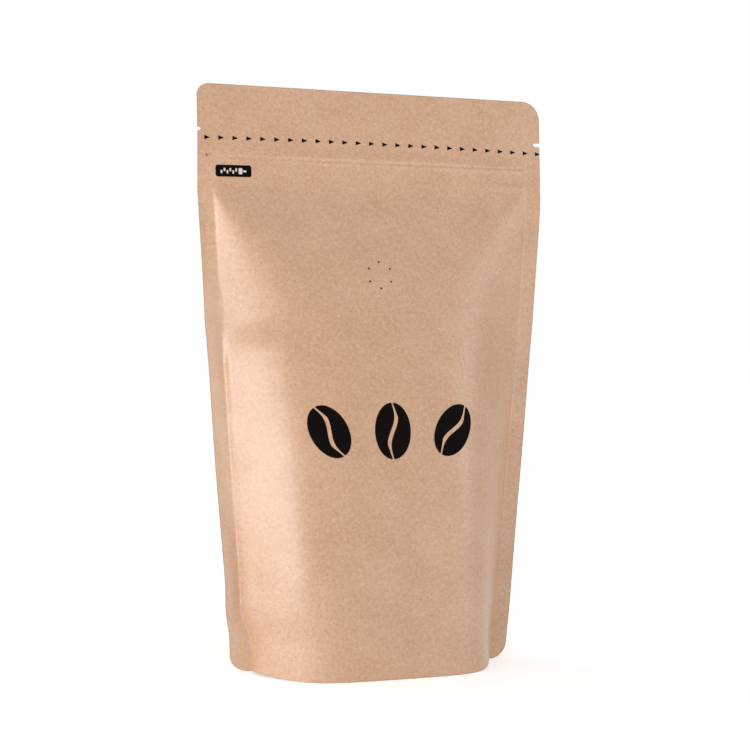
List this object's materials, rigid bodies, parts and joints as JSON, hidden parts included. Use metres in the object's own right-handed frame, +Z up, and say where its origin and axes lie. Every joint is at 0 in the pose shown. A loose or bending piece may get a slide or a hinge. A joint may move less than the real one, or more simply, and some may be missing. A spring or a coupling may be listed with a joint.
{
  "type": "stand-up coffee pouch",
  "caption": "Filled kraft stand-up pouch for coffee, shut: flat sealed top with tear notches, a closure ridge, side seals, and a folded gusset that it stands on.",
  "frame": {"origin": "on the ground under the middle of the pouch", "axes": "+Z up, the front panel faces -Y, the width runs along X"},
  "size_m": [0.16, 0.0684, 0.25],
  "materials": {
    "kraft": "matt kraft paper laminate",
    "ink": "black ink printed on the laminate"
  },
  "bodies": {
    "root": {"pouch": "kraft"}
  },
  "joints": []
}
